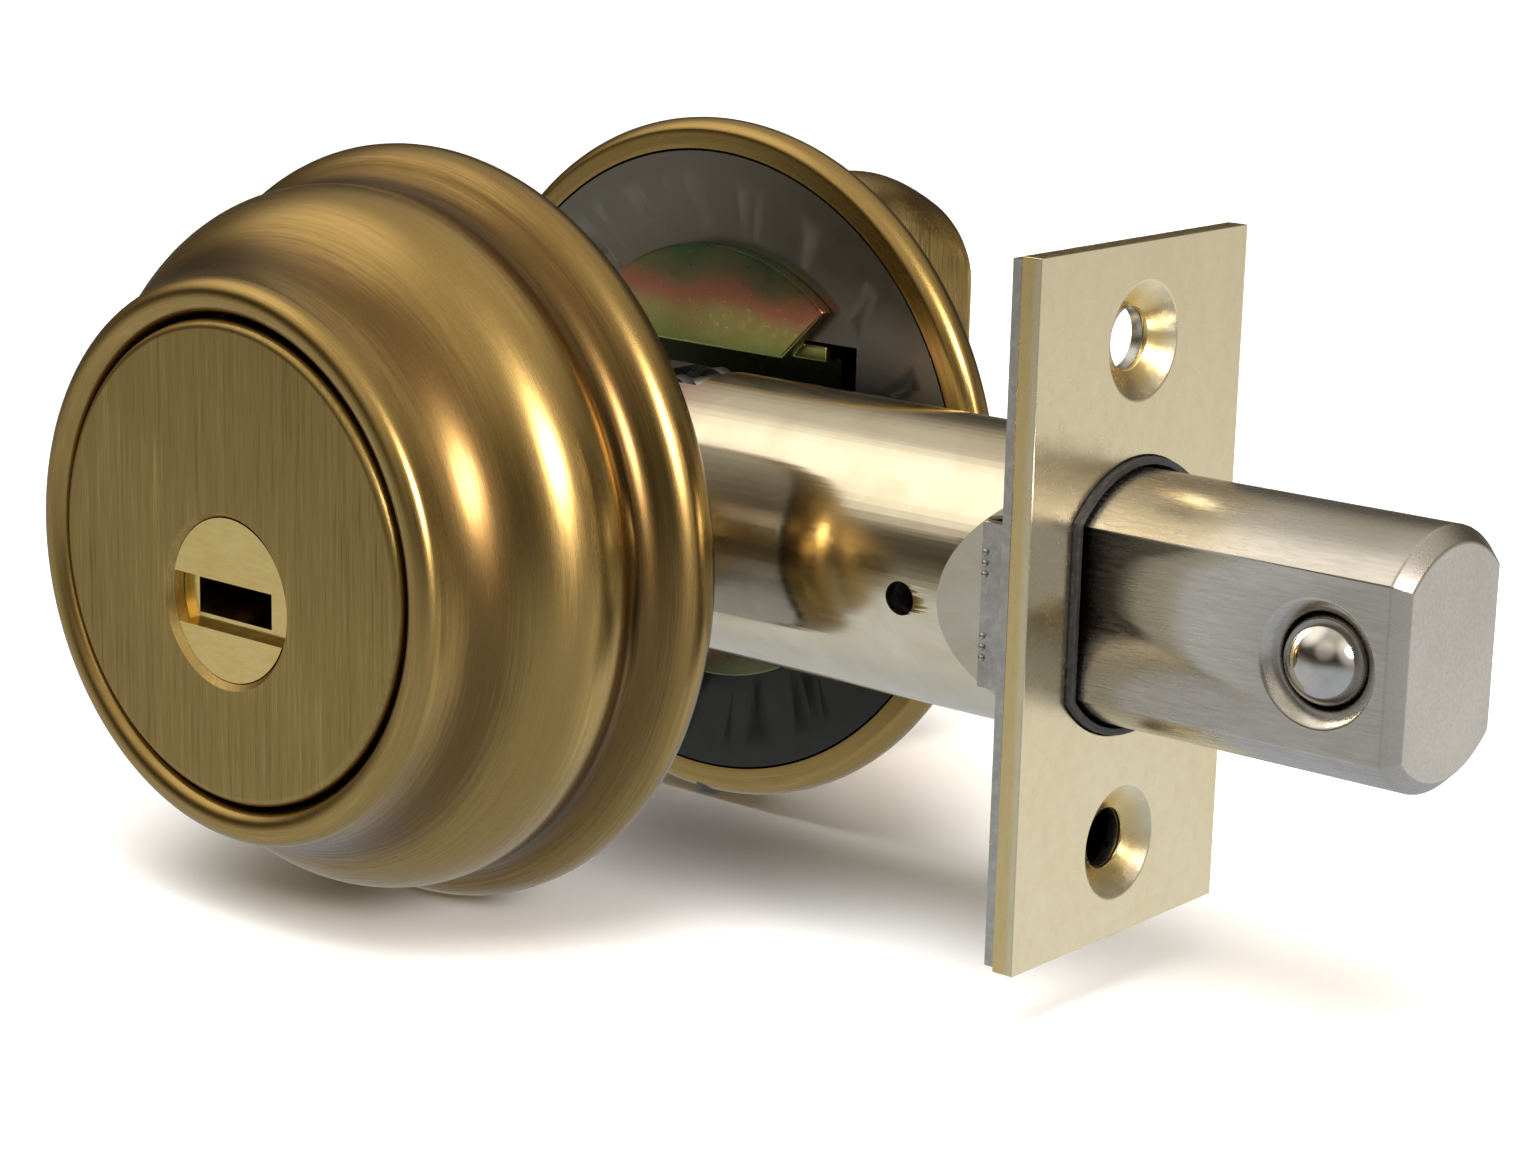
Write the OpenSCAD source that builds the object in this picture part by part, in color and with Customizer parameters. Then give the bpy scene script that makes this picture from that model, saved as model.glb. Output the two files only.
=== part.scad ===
// Single-cylinder deadbolt lock for a wooden door, bolt thrown.
// +X is the way the bolt is thrown, -Y the key side, +Y the thumbturn side, +Z up.
// The origin is where the cross bore's axis meets the bolt's axis, in the middle of the door.

/* [Door] */
// Door thickness
door_t = 34.9; // [34.5:0.1:35.3]
// Distance from the cross bore's axis to the door's edge
backset = 60.33; // [60.33, 69.85]

/* [Bolt] */
// Travel of the bolt
bolt_throw = 28; // [27:0.5:28]
// How far the bolt stands out when withdrawn
bolt_rest = 0.9; // [0.5:0.1:1.2]
// Radius of the bolt's round top and bottom
bolt_r = 10.4; // [10.2:0.1:10.5]
// Width across the bolt's two flats
bolt_w = 15.4; // [15:0.1:15.6]
// Diameter of the anti-jacking balls
ball_d = 7.4; // [7:0.1:7.4]

/* [Latch] */
// Outer radius of the round latch housing
tube_r = 12.2; // [12:0.1:12.5]
// Wall of the latch housing
tube_wall = 1.2; // [1:0.1:1.3]
// Width of the faceplate
plate_w = 28.58; // [25.4, 28.58]
// Height of the faceplate
plate_h = 57.15; // [56:0.05:58]
// Thickness of the brass faceplate
plate_t = 1.9; // [1.5:0.1:2.2]
// Thickness of the steel plate behind it
back_t = 1; // [0.8:0.1:1.2]
// Distance between the faceplate's two screw holes
plate_screws = 41.3; // [40:0.1:43]

/* [Key side] */
// How far the middle of the guard and the rose lies below the bolt's axis
trim_drop = 0.9; // [0:0.1:1]
// Radius of the cylinder's face
face_r = 20.25; // [20:0.05:20.5]
// Distance of the cylinder's face from the door
face_out = 25; // [24.5:0.1:25.5]
// How far the key plug's axis lies below the middle of the face
plug_drop = 3; // [2.5:0.1:3.5]
// Radius of the key plug
plug_r = 6.9; // [6.8:0.05:7]
// Number of pin stacks
pin_count = 5; // [4:1:5]

/* [Thumbturn side] */
// Outer radius of the rose at the door
rose_r = 32.4; // [32:0.1:32.8]
// Height of the rose above the door
rose_h = 12; // [11:0.1:13]
// Length of the thumbturn's grip
knob_len = 58; // [54:1:58]

/* [Hidden] */
$fn = 96;

brass_antique = [0.52, 0.39, 0.19];
brass_bright = [0.86, 0.75, 0.46];
steel_bright = [0.75, 0.76, 0.78];
steel_satin = [0.6, 0.58, 0.55];
steel_hard = [0.4, 0.41, 0.43];
zinc_yellow = [0.62, 0.58, 0.25];
gunmetal = [0.2, 0.21, 0.22];
plastic_black = [0.05, 0.05, 0.05];

slack = 0.05;               // running clearance of every shaft in its bore
eps = 0.01;                 // overshoot of a cut
far = 200;                  // longer than any cut needs

door_out = -door_t / 2;     // door's key side
door_in = door_t / 2;       // door's thumbturn side
trim_z = -trim_drop;        // height of the guard's and the rose's axis
axis_z = trim_z - plug_drop;        // height of the shared axis of plug, crank and thumbturn

// latch, along X
plate_x = backset;                          // faceplate's front
back_x = plate_x - plate_t - back_t;        // backplate's rear, against the door
tube_x0 = 13.5;                             // tube's inner end
case_x0 = -17.8;                            // rear case's far end
bore_r = tube_r - tube_wall;                // tube's inside
ear_half = 7;                               // half height of the backplate's ears
ear_len = 4;                                // length of the ears along the tube
ear_t = 1;
ear_y = sqrt(tube_r * tube_r - ear_half * ear_half);   // where the tube's side flats lie
ramp_len = 3.4;                             // slope from the round tube down to its flat
side_hole_x = 46.3;
side_hole_r = 1.4;
guide_x = 44.2;
guide_len = 5.2;
guide_slack = 0.08;
seal_gap = 0.3;
seal_t = 0.6;
seal_out = 0.6;
screw_hole_r = 2.5;
sink_r = 4.8;

// bolt, along X
bolt_end = plate_x + bolt_throw + bolt_rest;
bolt_start = 35;
bolt_chamfer = 1.2;
flat_y = bolt_w / 2;
ball_r = ball_d / 2;
ball_x = plate_x + 21.8;
ball_y = 5.25;                              // a thrown ball's centre, from the bolt's axis
ball_bore = ball_r + 0.1;
ball_rim = 5;
rod_r = ball_y - ball_r - slack;            // plunger's thick part, between the balls
rod_x0 = 60;
rod_shoulder = ball_x - 0.9;
rod_taper = 5;
roller_r = 1.9;
roller_z = 6.6;
roller_x = 52;                              // where the roller's bore begins
roller_play = 0.3;
tail_pin_x = bolt_start + 4;
tail_y0 = 1.9;                              // the tail's two cheeks, either side of the crank
tail_y1 = 3.3;
tail_z0 = 3.5;
tail_z1 = 8;
lug_r = 1.8;                                // the fork's end, round the drive pin

// crank
arm = 14;                                   // from the crank's axis up to the drive pin's path
pin_z = axis_z + arm;
pin_x = bolt_throw / 2;                     // drive pin's place with the bolt thrown
drive_r = 1.25;
hub_r = 5;
hub_half = 9.1;
arm_t = 3;
arm_slot = 2.55;                            // half width of the crank's slot
arm_half = 4.5;
arm_tip = 20.4;
arm_slot_z = arm - 2.2;
arm_reach = 16.1;                           // flats on the prongs' outer corners, clear of the tube's top
square_hole = 4.2;
square_bar = 4;
detent_x = -13;
detent_len = 16;
detent_w = 6;

// key side, along Y
face_y = door_out - face_out;
shoulder_y = face_y + 4.4;
journal_r = 19.4;
housing_back = -13;
flange_r = 29.3;
flange_t = 2.4;
plug_front = face_y + 0.5;
plug_back = housing_back + 0.1;
pin_pitch = 3.9;
pin_y0 = face_y + 6.2;
pin_r = 1.5;
inner_pin_r = 0.75;
pin_top = 6.7;
pin_low = 1.6;
driver_tip = 1.2;                           // taper at a driver pin's foot
driver_len = 3.8;
chamber_top = trim_z + 18.2;
cap_len = 2;
key_w = 8.8;
key_h = 3;
key_x = -0.6;
key_z = -0.5;
channel_low = -2.8;                         // shallow channel across the plug's front
channel_high = 1.5;
channel_depth = 1.2;
insert_x = 4.2;                             // hardened pins either side of the plug
insert_y = face_y + 2.6;
insert_z = trim_z + 5.5;
insert_r = 1.2;
insert_len = 12;
retainer_t = 1.2;
retainer_r = 8.6;
retainer_x = 4.6;                           // its screws, from the plug's axis
thread_r = 1;
tail_w = 4;
tail_t = 2;
ring_r = 27.6;                              // seat of the guard's backing ring
ring_y = door_out - 3;
spring_turns = 4;
spring_sides = 4;
spring_wire = 0.25;

// through screws, in threaded posts that stand on the flange
screw_ring = 22.9;
screw_angles = [136, 257];
screw_r = 2;
screw_tip = -15;
post_r = 2.9;
post_end = -3;

// thumbturn side, along Y
dish_y = door_in + 2;
dish_t = 1;
dish_r = 29.4;
dish_rim = 1.8;                             // width of the rim that rests on the door
dish_floor = 21;                            // radius of its flat floor
skirt_h = 2.6;
sheet_t = 1.5;
strap_r = 20.7;                             // mounting plate
channel_x = 15.9;
channel_z = 11;
channel_deep = 5.5;
corner_x = 8.5;                             // where the mounting plate's corners are cut off
spindle_hole = 4.5;
set_y = door_in + 1.5;
set_r = 1.1;
rose_top = door_in + rose_h;
rose_wall = 1.5;
collar_r = 8;
knob_y0 = rose_top + 0.4;
knob_y1 = rose_top + 20;
knob_low = knob_y0 - 5.5;
knob_half = 7.9;
waist_half = 4.6;
scoop_r = 12.5;
knob_back_r = 5.5;                          // rounding of the grip's ends, towards the rose
knob_end_r = 20;                            // and towards the room

// ---------- helpers ----------
module along_x(x0, x1, r, y = 0, z = 0) {
    translate([x0, y, z]) rotate([0, 90, 0]) cylinder(h = x1 - x0, r = r);
}

module along_y(y0, y1, r, x = 0, z = 0) {
    translate([x, y0, z]) rotate([-90, 0, 0]) cylinder(h = y1 - y0, r = r);
}

module cone_y(y0, y1, r0, r1, x = 0, z = 0) {
    translate([x, y0, z]) rotate([-90, 0, 0]) cylinder(h = y1 - y0, r1 = r0, r2 = r1);
}

// a section drawn in Y and Z, drawn out from x0 to x1
module prism_x(x0, x1) {
    translate([x0, 0, 0]) rotate([90, 0, 90]) linear_extrude(x1 - x0) children();
}

// an outline drawn in X and Z, drawn out from y0 to y1
module prism_y(y0, y1) {
    translate([0, y1, 0]) rotate([90, 0, 0]) linear_extrude(y1 - y0) children();
}

// an outline of [radius, y] points turned about the guard's and the rose's axis
module turned(points) {
    translate([0, 0, trim_z]) rotate([-90, 0, 0]) rotate_extrude() polygon(points);
}

module block(x0, x1, y0, y1, z0, z1) {
    translate([x0, y0, z0]) cube([x1 - x0, y1 - y0, z1 - z0]);
}

// a circle cut off square at both sides
module flatted_circle(r, half_w) {
    intersection() {
        circle(r = r);
        square([2 * half_w, far], center = true);
    }
}

// the bolt's outline, larger all round by grow
module bolt_section(grow = 0) {
    flatted_circle(bolt_r + grow, bolt_w / 2 + grow);
}

function arc(c, r, a0, a1, n = 12) = [for (i = [0:n]) let (a = a0 + (a1 - a0) * i / n)
    [c[0] + r * cos(a), c[1] + r * sin(a)]];

function direction(a, b) = atan2(b[1] - a[1], b[0] - a[0]);

// centre of the circle of radius r that touches two circles from outside, on their right
function blend_centre(c1, r1, c2, r2, r) = let (
    d = norm(c2 - c1),
    a = r1 + r,
    b = r2 + r,
    turn = acos((a * a + d * d - b * b) / (2 * a * d)),
    aim = direction(c1, c2) - turn
) [c1[0] + a * cos(aim), c1[1] + a * sin(aim)];

module at_screws() {
    for (a = screw_angles)
        translate([screw_ring * cos(a), 0, trim_z + screw_ring * sin(a)]) children();
}

function pin_y(i) = pin_y0 + i * pin_pitch;

// ---------- key side ----------
module cylinder_housing() {
    rim = 0.8;
    color(brass_antique) difference() {
        turned(concat(
            [[0, housing_back], [0, face_y], [face_r - rim, face_y]],
            arc([face_r - rim, face_y + rim], rim, -90, 0, 6),
            [[face_r, shoulder_y], [journal_r, shoulder_y], [journal_r, housing_back]]));
        along_y(face_y - 1, far, plug_r + slack, z = axis_z);
        cone_y(face_y - eps, face_y + 0.6, plug_r + 0.6, plug_r + slack, z = axis_z);
        for (i = [0:pin_count - 1])
            translate([0, pin_y(i), axis_z]) cylinder(h = far, r = pin_r + slack);
        for (s = [-1, 1])
            translate([s * insert_x, insert_y, insert_z]) cylinder(h = far, r = insert_r + slack);
    }
}

module housing_flange() {
    color(steel_satin) difference() {
        along_y(door_out - flange_t, door_out, flange_r, z = trim_z);
        along_y(door_out - flange_t - 1, door_out + 1, journal_r, z = trim_z);
        at_screws() along_y(door_out - flange_t - 1, door_out + 1, post_r);
    }
}

module screw_posts() {
    color(steel_satin) at_screws() difference() {
        along_y(door_out - flange_t, post_end, post_r);
        along_y(screw_tip - 1, 0, screw_r);
    }
}

module driver_pins() {
    color(brass_bright) for (i = [0:pin_count - 1])
        translate([0, pin_y(i), axis_z + plug_r + 0.1]) {
            cylinder(h = driver_tip, r1 = pin_r - 0.3, r2 = pin_r);
            translate([0, 0, driver_tip]) cylinder(h = driver_len - driver_tip, r = pin_r);
        }
}

// one ring of a spring's wire after turning through angle a, climbing rise over the whole spring
function spring_ring(r, rise, a) = [for (k = [0:spring_sides - 1])
    let (b = 360 * k / spring_sides, q = r + spring_wire * cos(b))
    [q * cos(a), q * sin(a), rise * a / (360 * spring_turns) + spring_wire * sin(b)]];

module coil(r, rise) {
    steps = spring_turns * 8;
    points = [for (i = [0:steps]) each spring_ring(r, rise, 360 * spring_turns * i / steps)];
    sides = [for (i = [0:steps - 1]) for (k = [0:spring_sides - 1])
        let (j = (k + 1) % spring_sides, a = i * spring_sides)
        [a + k, a + spring_sides + k, a + spring_sides + j, a + j]];
    first = [for (k = [0:spring_sides - 1]) k];
    last = [for (k = [spring_sides - 1:-1:0]) steps * spring_sides + k];
    polyhedron(points, concat(sides, [first, last]), convexity = 10);
}

module pin_springs() {
    low = axis_z + plug_r + 0.2 + driver_len + spring_wire;
    high = chamber_top - cap_len - 0.3 - spring_wire;
    color(steel_bright) for (i = [0:pin_count - 1])
        translate([0, pin_y(i), low]) coil(pin_r - spring_wire - 0.1, high - low);
}

module chamber_plugs() {
    color(brass_bright) for (i = [0:pin_count - 1])
        translate([0, pin_y(i), chamber_top - cap_len]) cylinder(h = cap_len, r = pin_r + slack);
}

module hardened_inserts() {
    color(steel_hard) for (s = [-1, 1])
        translate([s * insert_x, insert_y, insert_z + 0.1]) cylinder(h = insert_len, r = insert_r);
}

module cylinder_guard() {
    back = door_out - 0.3;
    lip_r = face_r + 0.4;
    cove = [33, face_y + 0.85];
    cove_r = 9.3;
    bead_r = 1.55;
    turn = 177;                 // where the lip's bead runs into the cove
    bead = cove + (bead_r + cove_r) * [cos(turn), sin(turn)];
    swell = [22.6, door_out - 10.85];
    swell_r = 7.45;
    foot = [29.8, door_out - 2.75];
    foot_r = 3;
    hollow_r = 3;
    hollow = blend_centre(swell, swell_r, foot, foot_r, hollow_r);
    rim_r = 29.9;
    inside = [[rim_r, back], [rim_r, ring_y], [ring_r, ring_y], [ring_r, door_out - 8],
        [24.6, door_out - 14], [23, door_out - 18.5], [lip_r, door_out - 20.5]];
    color(brass_antique) turned(concat(
        arc(bead, bead_r, -175, turn - 180, 12),
        arc(cove, cove_r, turn, direction(cove, swell), 12),
        arc(swell, swell_r, direction(swell, cove), direction(swell, hollow), 16),
        arc(hollow, hollow_r, direction(hollow, swell), direction(hollow, foot) - 360, 10),
        arc(foot, foot_r, direction(foot, hollow), asin((back - foot[1]) / foot_r), 10),
        inside));
}

module guard_backing_ring() {
    color(steel_satin) difference() {
        along_y(ring_y - 2.2, ring_y, ring_r, z = trim_z);
        along_y(ring_y - 3, ring_y + 1, journal_r + slack, z = trim_z);
    }
}

module key_plug() {
    color(brass_bright) difference() {
        along_y(plug_front, plug_back, plug_r, z = axis_z);
        block(key_x - key_w / 2, key_x + key_w / 2, plug_front - 1, plug_back - 2,
            axis_z + key_z - key_h / 2, axis_z + key_z + key_h / 2);
        block(-far, far, plug_front - 1, plug_front + channel_depth, axis_z + channel_low,
            axis_z + channel_high);
        for (i = [0:pin_count - 1])
            translate([0, pin_y(i), axis_z]) cylinder(h = far, r = pin_r + slack);
        for (s = [-1, 1])
            along_y(plug_back - 1.5, far, thread_r, x = s * retainer_x, z = axis_z);
    }
}

module outer_key_pins() {
    color(brass_bright) for (i = [0:pin_count - 1])
        translate([0, pin_y(i), axis_z + pin_low]) difference() {
            cylinder(h = pin_top - pin_low, r = pin_r);
            translate([0, 0, -1]) cylinder(h = far, r = inner_pin_r + slack);
        }
}

module inner_key_pins() {
    color(steel_bright) for (i = [0:pin_count - 1])
        translate([0, pin_y(i), axis_z + pin_low - 0.3 * (i % 3)])
            cylinder(h = pin_top - pin_low, r = inner_pin_r);
}

module plug_retainer() {
    color(steel_satin) difference() {
        along_y(plug_back, plug_back + retainer_t, retainer_r, z = axis_z);
        for (s = [-1, 1])
            along_y(plug_back - 1, far, thread_r + 0.1, x = s * retainer_x, z = axis_z);
        block(-tail_w / 2 - 0.1, tail_w / 2 + 0.1, plug_back - 1, far, axis_z - tail_t / 2 - 0.1,
            axis_z + tail_t / 2 + 0.1);
    }
}

module retainer_screws() {
    head_y = plug_back + retainer_t;
    color(steel_bright) for (s = [-1, 1]) {
        along_y(plug_back - 1.4, head_y, thread_r, x = s * retainer_x, z = axis_z);
        along_y(head_y, head_y + 0.8, 1.8, x = s * retainer_x, z = axis_z);
    }
}

module tailpiece() {
    color(steel_satin)
        block(-tail_w / 2, tail_w / 2, plug_back, -0.4, axis_z - tail_t / 2, axis_z + tail_t / 2);
}

// ---------- latch ----------
module latch_housing() {
    color(steel_bright) difference() {
        along_x(tube_x0, back_x + back_t, tube_r);
        along_x(tube_x0 - 1, guide_x + guide_len, bore_r);
        prism_x(guide_x, plate_x) flatted_circle(bore_r, ear_y - tube_wall);
        block(tube_x0 - 1, pin_x + drive_r + 2, -tail_y1 - 0.5, tail_y1 + 0.5, 5, far);
        along_y(-far, 0, side_hole_r, x = side_hole_x, z = -0.6);
        for (s = [0, 1]) mirror([0, s, 0]) {
            block(back_x - ear_len, far, -far, -ear_y, -far, far);
            translate([back_x - ear_len, -ear_y, -far / 2])
                rotate([0, 0, atan2(tube_r - ear_y, ramp_len)])
                translate([-2 * ramp_len, -far, 0]) cube([2 * ramp_len + 1, far, far]);
        }
    }
}

module latch_rear_case() {
    side = hub_half;
    wall = 1.2;
    color(steel_satin) difference() {
        intersection() {
            along_x(case_x0, tube_x0, tube_r);
            block(case_x0, tube_x0, -side, side, -far, far);
        }
        intersection() {
            along_x(case_x0 + wall, far, bolt_r + 0.4);
            block(case_x0 + wall, far, -side + wall, side - wall, -far, far);
        }
        block(-far, far, -tail_y1 - 0.5, tail_y1 + 0.5, 5, far);
        along_y(-far, far, hub_r + slack, z = axis_z);
    }
}

module bolt_guide() {
    color(plastic_black) difference() {
        along_x(guide_x, guide_x + guide_len, bore_r);
        prism_x(guide_x - 1, guide_x + guide_len + 1) bolt_section(guide_slack);
        along_y(-far, -flat_y - 1, side_hole_r, x = side_hole_x, z = -0.6);
    }
}

module backplate() {
    trim = 0.3;
    color(steel_satin) difference() {
        union() {
            block(back_x, back_x + back_t, -plate_w / 2 + trim, plate_w / 2 - trim,
                -plate_h / 2 + trim, plate_h / 2 - trim);
            for (s = [0, 1]) mirror([0, s, 0])
                block(back_x - ear_len, back_x + back_t / 2, -ear_y - ear_t, -ear_y - 0.01,
                    0.3 - ear_half, ear_half - 0.3);
        }
        prism_x(back_x - 1, plate_x) flatted_circle(tube_r, ear_y);
        for (s = [-1, 1])
            along_x(0, far, screw_hole_r, z = s * plate_screws / 2);
    }
}

module faceplate() {
    color(brass_bright) difference() {
        block(back_x + back_t, plate_x, -plate_w / 2, plate_w / 2, -plate_h / 2, plate_h / 2);
        prism_x(0, far) bolt_section(seal_gap + seal_t + 0.1);
        for (s = [-1, 1]) {
            along_x(0, far, screw_hole_r, z = s * plate_screws / 2);
            translate([plate_x - plate_t + 0.4, 0, s * plate_screws / 2]) rotate([0, 90, 0])
                cylinder(h = plate_t - 0.4 + eps, r1 = screw_hole_r, r2 = sink_r);
        }
    }
}

module bolt_seal() {
    color(plastic_black) difference() {
        prism_x(back_x + back_t, plate_x + seal_out) bolt_section(seal_gap + seal_t);
        prism_x(back_x, far) bolt_section(seal_gap);
    }
}

module hub_crank() {
    color(steel_hard) translate([0, 0, axis_z]) difference() {
        union() {
            along_y(-hub_half, hub_half, hub_r);
            intersection() {
                rotate([0, 45, 0]) block(-arm_half, arm_half, -arm_t / 2, arm_t / 2, 0, arm_tip);
                block(-far, arm_reach, -far, far, -far, arm_reach);
            }
        }
        rotate([0, 45, 0]) block(-arm_slot, arm_slot, -far, far, arm_slot_z, far);
        block(-square_hole / 2, square_hole / 2, -far, far, -square_hole / 2, square_hole / 2);
    }
}

// leaf spring that holds the crank at each end of its swing
module detent_spring() {
    color(steel_bright) difference() {
        intersection() {
            along_x(detent_x, tube_x0, bolt_r + 0.4);
            block(detent_x, detent_x + detent_len, -detent_w / 2, detent_w / 2, -far,
                axis_z - hub_r - 0.3);
        }
        along_x(detent_x - 1, tube_x0, bolt_r - 0.2);
    }
}

module bolt() {
    color(steel_satin) difference() {
        intersection() {
            prism_x(bolt_start, bolt_end) bolt_section();
            union() {
                along_x(bolt_start, bolt_end - bolt_chamfer, bolt_r);
                translate([bolt_end - bolt_chamfer, 0, 0]) rotate([0, 90, 0])
                    cylinder(h = bolt_chamfer, r1 = bolt_r, r2 = bolt_r - bolt_chamfer);
            }
        }
        for (s = [0, 1]) mirror([0, s, 0]) {
            translate([bolt_end, -flat_y + bolt_chamfer, -far / 2]) rotate([0, 0, 45])
                translate([-far / 2, -far, 0]) cube([far, far, far]);
            along_y(-far, 0, ball_bore, x = ball_x);
            cone_y(-flat_y - eps, -flat_y + ball_rim - ball_bore, ball_rim, ball_bore, x = ball_x);
        }
        along_x(rod_x0 - 8, rod_shoulder + rod_taper + 1, rod_r + slack);
        for (s = [-1, 1])
            along_x(roller_x, bolt_end - 3, roller_r + slack, z = s * roller_z);
        block(0, bolt_start + 8.2, -tail_y1 - slack, tail_y1 + slack, tail_z0 - slack, tail_z1 + slack);
        along_y(-far, far, drive_r, x = tail_pin_x, z = (tail_z0 + tail_z1) / 2);
    }
}

module bolt_tail() {
    color(steel_hard) difference() {
        union() {
            block(pin_x, bolt_start + 8, -tail_y1, tail_y1, tail_z0, tail_z1);
            block(pin_x - lug_r, pin_x + lug_r, -tail_y1, tail_y1, tail_z0, pin_z);
            along_y(-tail_y1, tail_y1, lug_r, x = pin_x, z = pin_z);
        }
        block(0, bolt_start - 5, -tail_y0, tail_y0, 0, far);
        along_y(-far, far, drive_r, x = pin_x, z = pin_z);
        along_y(-far, far, drive_r, x = tail_pin_x, z = (tail_z0 + tail_z1) / 2);
    }
}

module drive_pin() {
    color(steel_bright) along_y(-tail_y1, tail_y1, drive_r, x = pin_x, z = pin_z);
}

module tail_pin() {
    reach = flat_y - 0.2;
    color(steel_bright) along_y(-reach, reach, drive_r, x = tail_pin_x, z = (tail_z0 + tail_z1) / 2);
}

module hardened_rollers() {
    color(steel_hard) for (s = [-1, 1])
        along_x(roller_x + roller_play, bolt_end - 3 - roller_play, roller_r, z = s * roller_z);
}

module exterior_ball() {
    color(steel_bright) translate([ball_x, -ball_y, 0]) sphere(r = ball_r);
}

module interior_ball() {
    color(steel_bright) translate([ball_x, ball_y, 0]) sphere(r = ball_r);
}

module ball_plunger() {
    color(steel_hard) union() {
        along_x(rod_x0, rod_shoulder, rod_r);
        translate([rod_shoulder, 0, 0]) rotate([0, 90, 0])
            cylinder(h = rod_taper, r1 = rod_r, r2 = 0.1);
    }
}

// ---------- thumbturn side ----------
// a dished steel disc with a flat seat for each through screw
module rose_backplate() {
    lip_r = dish_r - dish_rim;
    skirt_r = dish_r - dish_t;
    side = channel_z + sheet_t + 0.3;
    front = [[0, dish_y], [dish_floor, dish_y], [lip_r, door_in]];
    seat_r = 4.4;
    color(gunmetal) difference() {
        union() {
            turned(concat(front,
                [[dish_r, door_in], [dish_r, door_in + skirt_h], [skirt_r, door_in + skirt_h],
                 [skirt_r, door_in + dish_t], [lip_r - 0.2, door_in + dish_t],
                 [dish_floor - 0.2, dish_y + dish_t], [0, dish_y + dish_t]]));
            intersection() {
                turned(concat(front, [[lip_r, dish_y + dish_t], [0, dish_y + dish_t]]));
                at_screws() along_y(door_in, dish_y + dish_t, seat_r);
            }
        }
        at_screws() along_y(0, dish_y, seat_r - 0.8);
        block(-channel_x - 0.3, channel_x + 0.3, 0, far, trim_z - side, trim_z + side);
        at_screws() along_y(0, far, screw_r + 0.3);
    }
}

// a disc with a deep channel across it, and its corners cut off either side of the channel
module mounting_plate() {
    front = dish_y - sheet_t;
    deep = front + channel_deep;
    side = channel_z + sheet_t;
    far_z = channel_z + far;
    color(zinc_yellow) difference() {
        translate([0, 0, trim_z]) difference() {
            intersection() {
                along_y(front, deep, strap_r);
                union() {
                    block(-far, far, front, dish_y, -far, far);
                    block(-channel_x, channel_x, front, deep, -side, side);
                }
            }
            block(-channel_x - 0.01, channel_x + 0.01, 0, deep - sheet_t, -channel_z, channel_z);
            for (s = [0, 1]) mirror([s, 0, 0]) prism_y(0, dish_y) polygon(
                [[corner_x, channel_z], [corner_x + far, far_z], [corner_x + far, -far_z],
                 [corner_x, -channel_z]]);
        }
        along_y(0, far, spindle_hole, z = axis_z);
    }
}

module rose() {
    bead_r = 1.9;
    bead = [rose_r - bead_r, door_in + bead_r];
    mouth_r = dish_r + 0.2;
    inner_y = door_in + 2.8;
    dome_r = 14;
    dome = [rose_r / 2 - 0.2, rose_top - dome_r];
    color(brass_antique) difference() {
        turned(concat(
            arc(bead, bead_r, -acos((mouth_r - bead[0]) / bead_r), 80, 14),
            arc(dome, dome_r, 28, 90, 16),
            [[0, rose_top], [0, rose_top - rose_wall]],
            arc(dome, dome_r - rose_wall, 90, 28, 16),
            [[mouth_r, inner_y]]));
        along_y(0, far, collar_r + slack, z = axis_z);
        translate([0, set_y, -far]) cylinder(h = far, r = set_r);
    }
}

module mounting_screws() {
    head_y = dish_y + dish_t;
    color(steel_bright) at_screws() difference() {
        union() {
            along_y(screw_tip, head_y, screw_r);
            cone_y(head_y, head_y + 1.8, 3.2, 2.6);
        }
        for (a = [0, 90]) translate([0, head_y + 1.8, 0]) rotate([0, a, 0])
            cube([3.4, 1.8, 0.8], center = true);
    }
}

module rose_set_screw() {
    low = trim_z - rose_r + 0.2;
    color(steel_hard) difference() {
        translate([0, set_y, low]) cylinder(h = trim_z - dish_r - low, r = set_r);
        translate([0, set_y, low - 1]) cylinder(h = 1.8, r = 0.6, $fn = 6);
    }
}

// the thumbturn's grip seen along X: its ends are round, slowly towards the room
module grip_side() {
    z = knob_len / 2;
    y = knob_y0 + 2 + knob_back_r;
    reach = acos((knob_y1 - y) / knob_end_r);
    end = concat(
        arc([y, z - knob_end_r], knob_end_r, reach, 90, 16),
        arc([y, z - knob_back_r], knob_back_r, 90, 180, 10));
    polygon(concat(end, [for (i = [len(end) - 1:-1:0]) [end[i][0], -end[i][1]]]));
}

module thumbturn_knob() {
    scoop_mid = (knob_y0 + knob_y1) / 2 + 1.5;
    color(brass_antique) translate([0, 0, axis_z]) union() {
        difference() {
            intersection() {
                prism_y(knob_y0 + 2, knob_y1) union() {
                    square([2 * knob_half, knob_len - 2 * knob_half], center = true);
                    for (s = [-1, 1]) translate([0, s * (knob_len / 2 - knob_half)])
                        circle(r = knob_half);
                }
                prism_x(-far, far) grip_side();
            }
            for (s = [-1, 1])
                translate([s * (waist_half + scoop_r), scoop_mid, -far / 2])
                    cylinder(h = far, r = scoop_r);
        }
        along_y(knob_y0, knob_y0 + 4, 11.5);
        along_y(knob_low, knob_y0, collar_r);
    }
}

module thumbturn_spindle() {
    half = square_bar / 2;
    color(steel_satin) block(-half, half, 0.4, knob_low, axis_z - half, axis_z + half);
}

module wave_washer() {
    y = rose_top - rose_wall - 0.4;
    color(steel_bright) difference() {
        along_y(y - 0.4, y, 11, z = axis_z);
        along_y(0, far, collar_r + slack, z = axis_z);
    }
}

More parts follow.
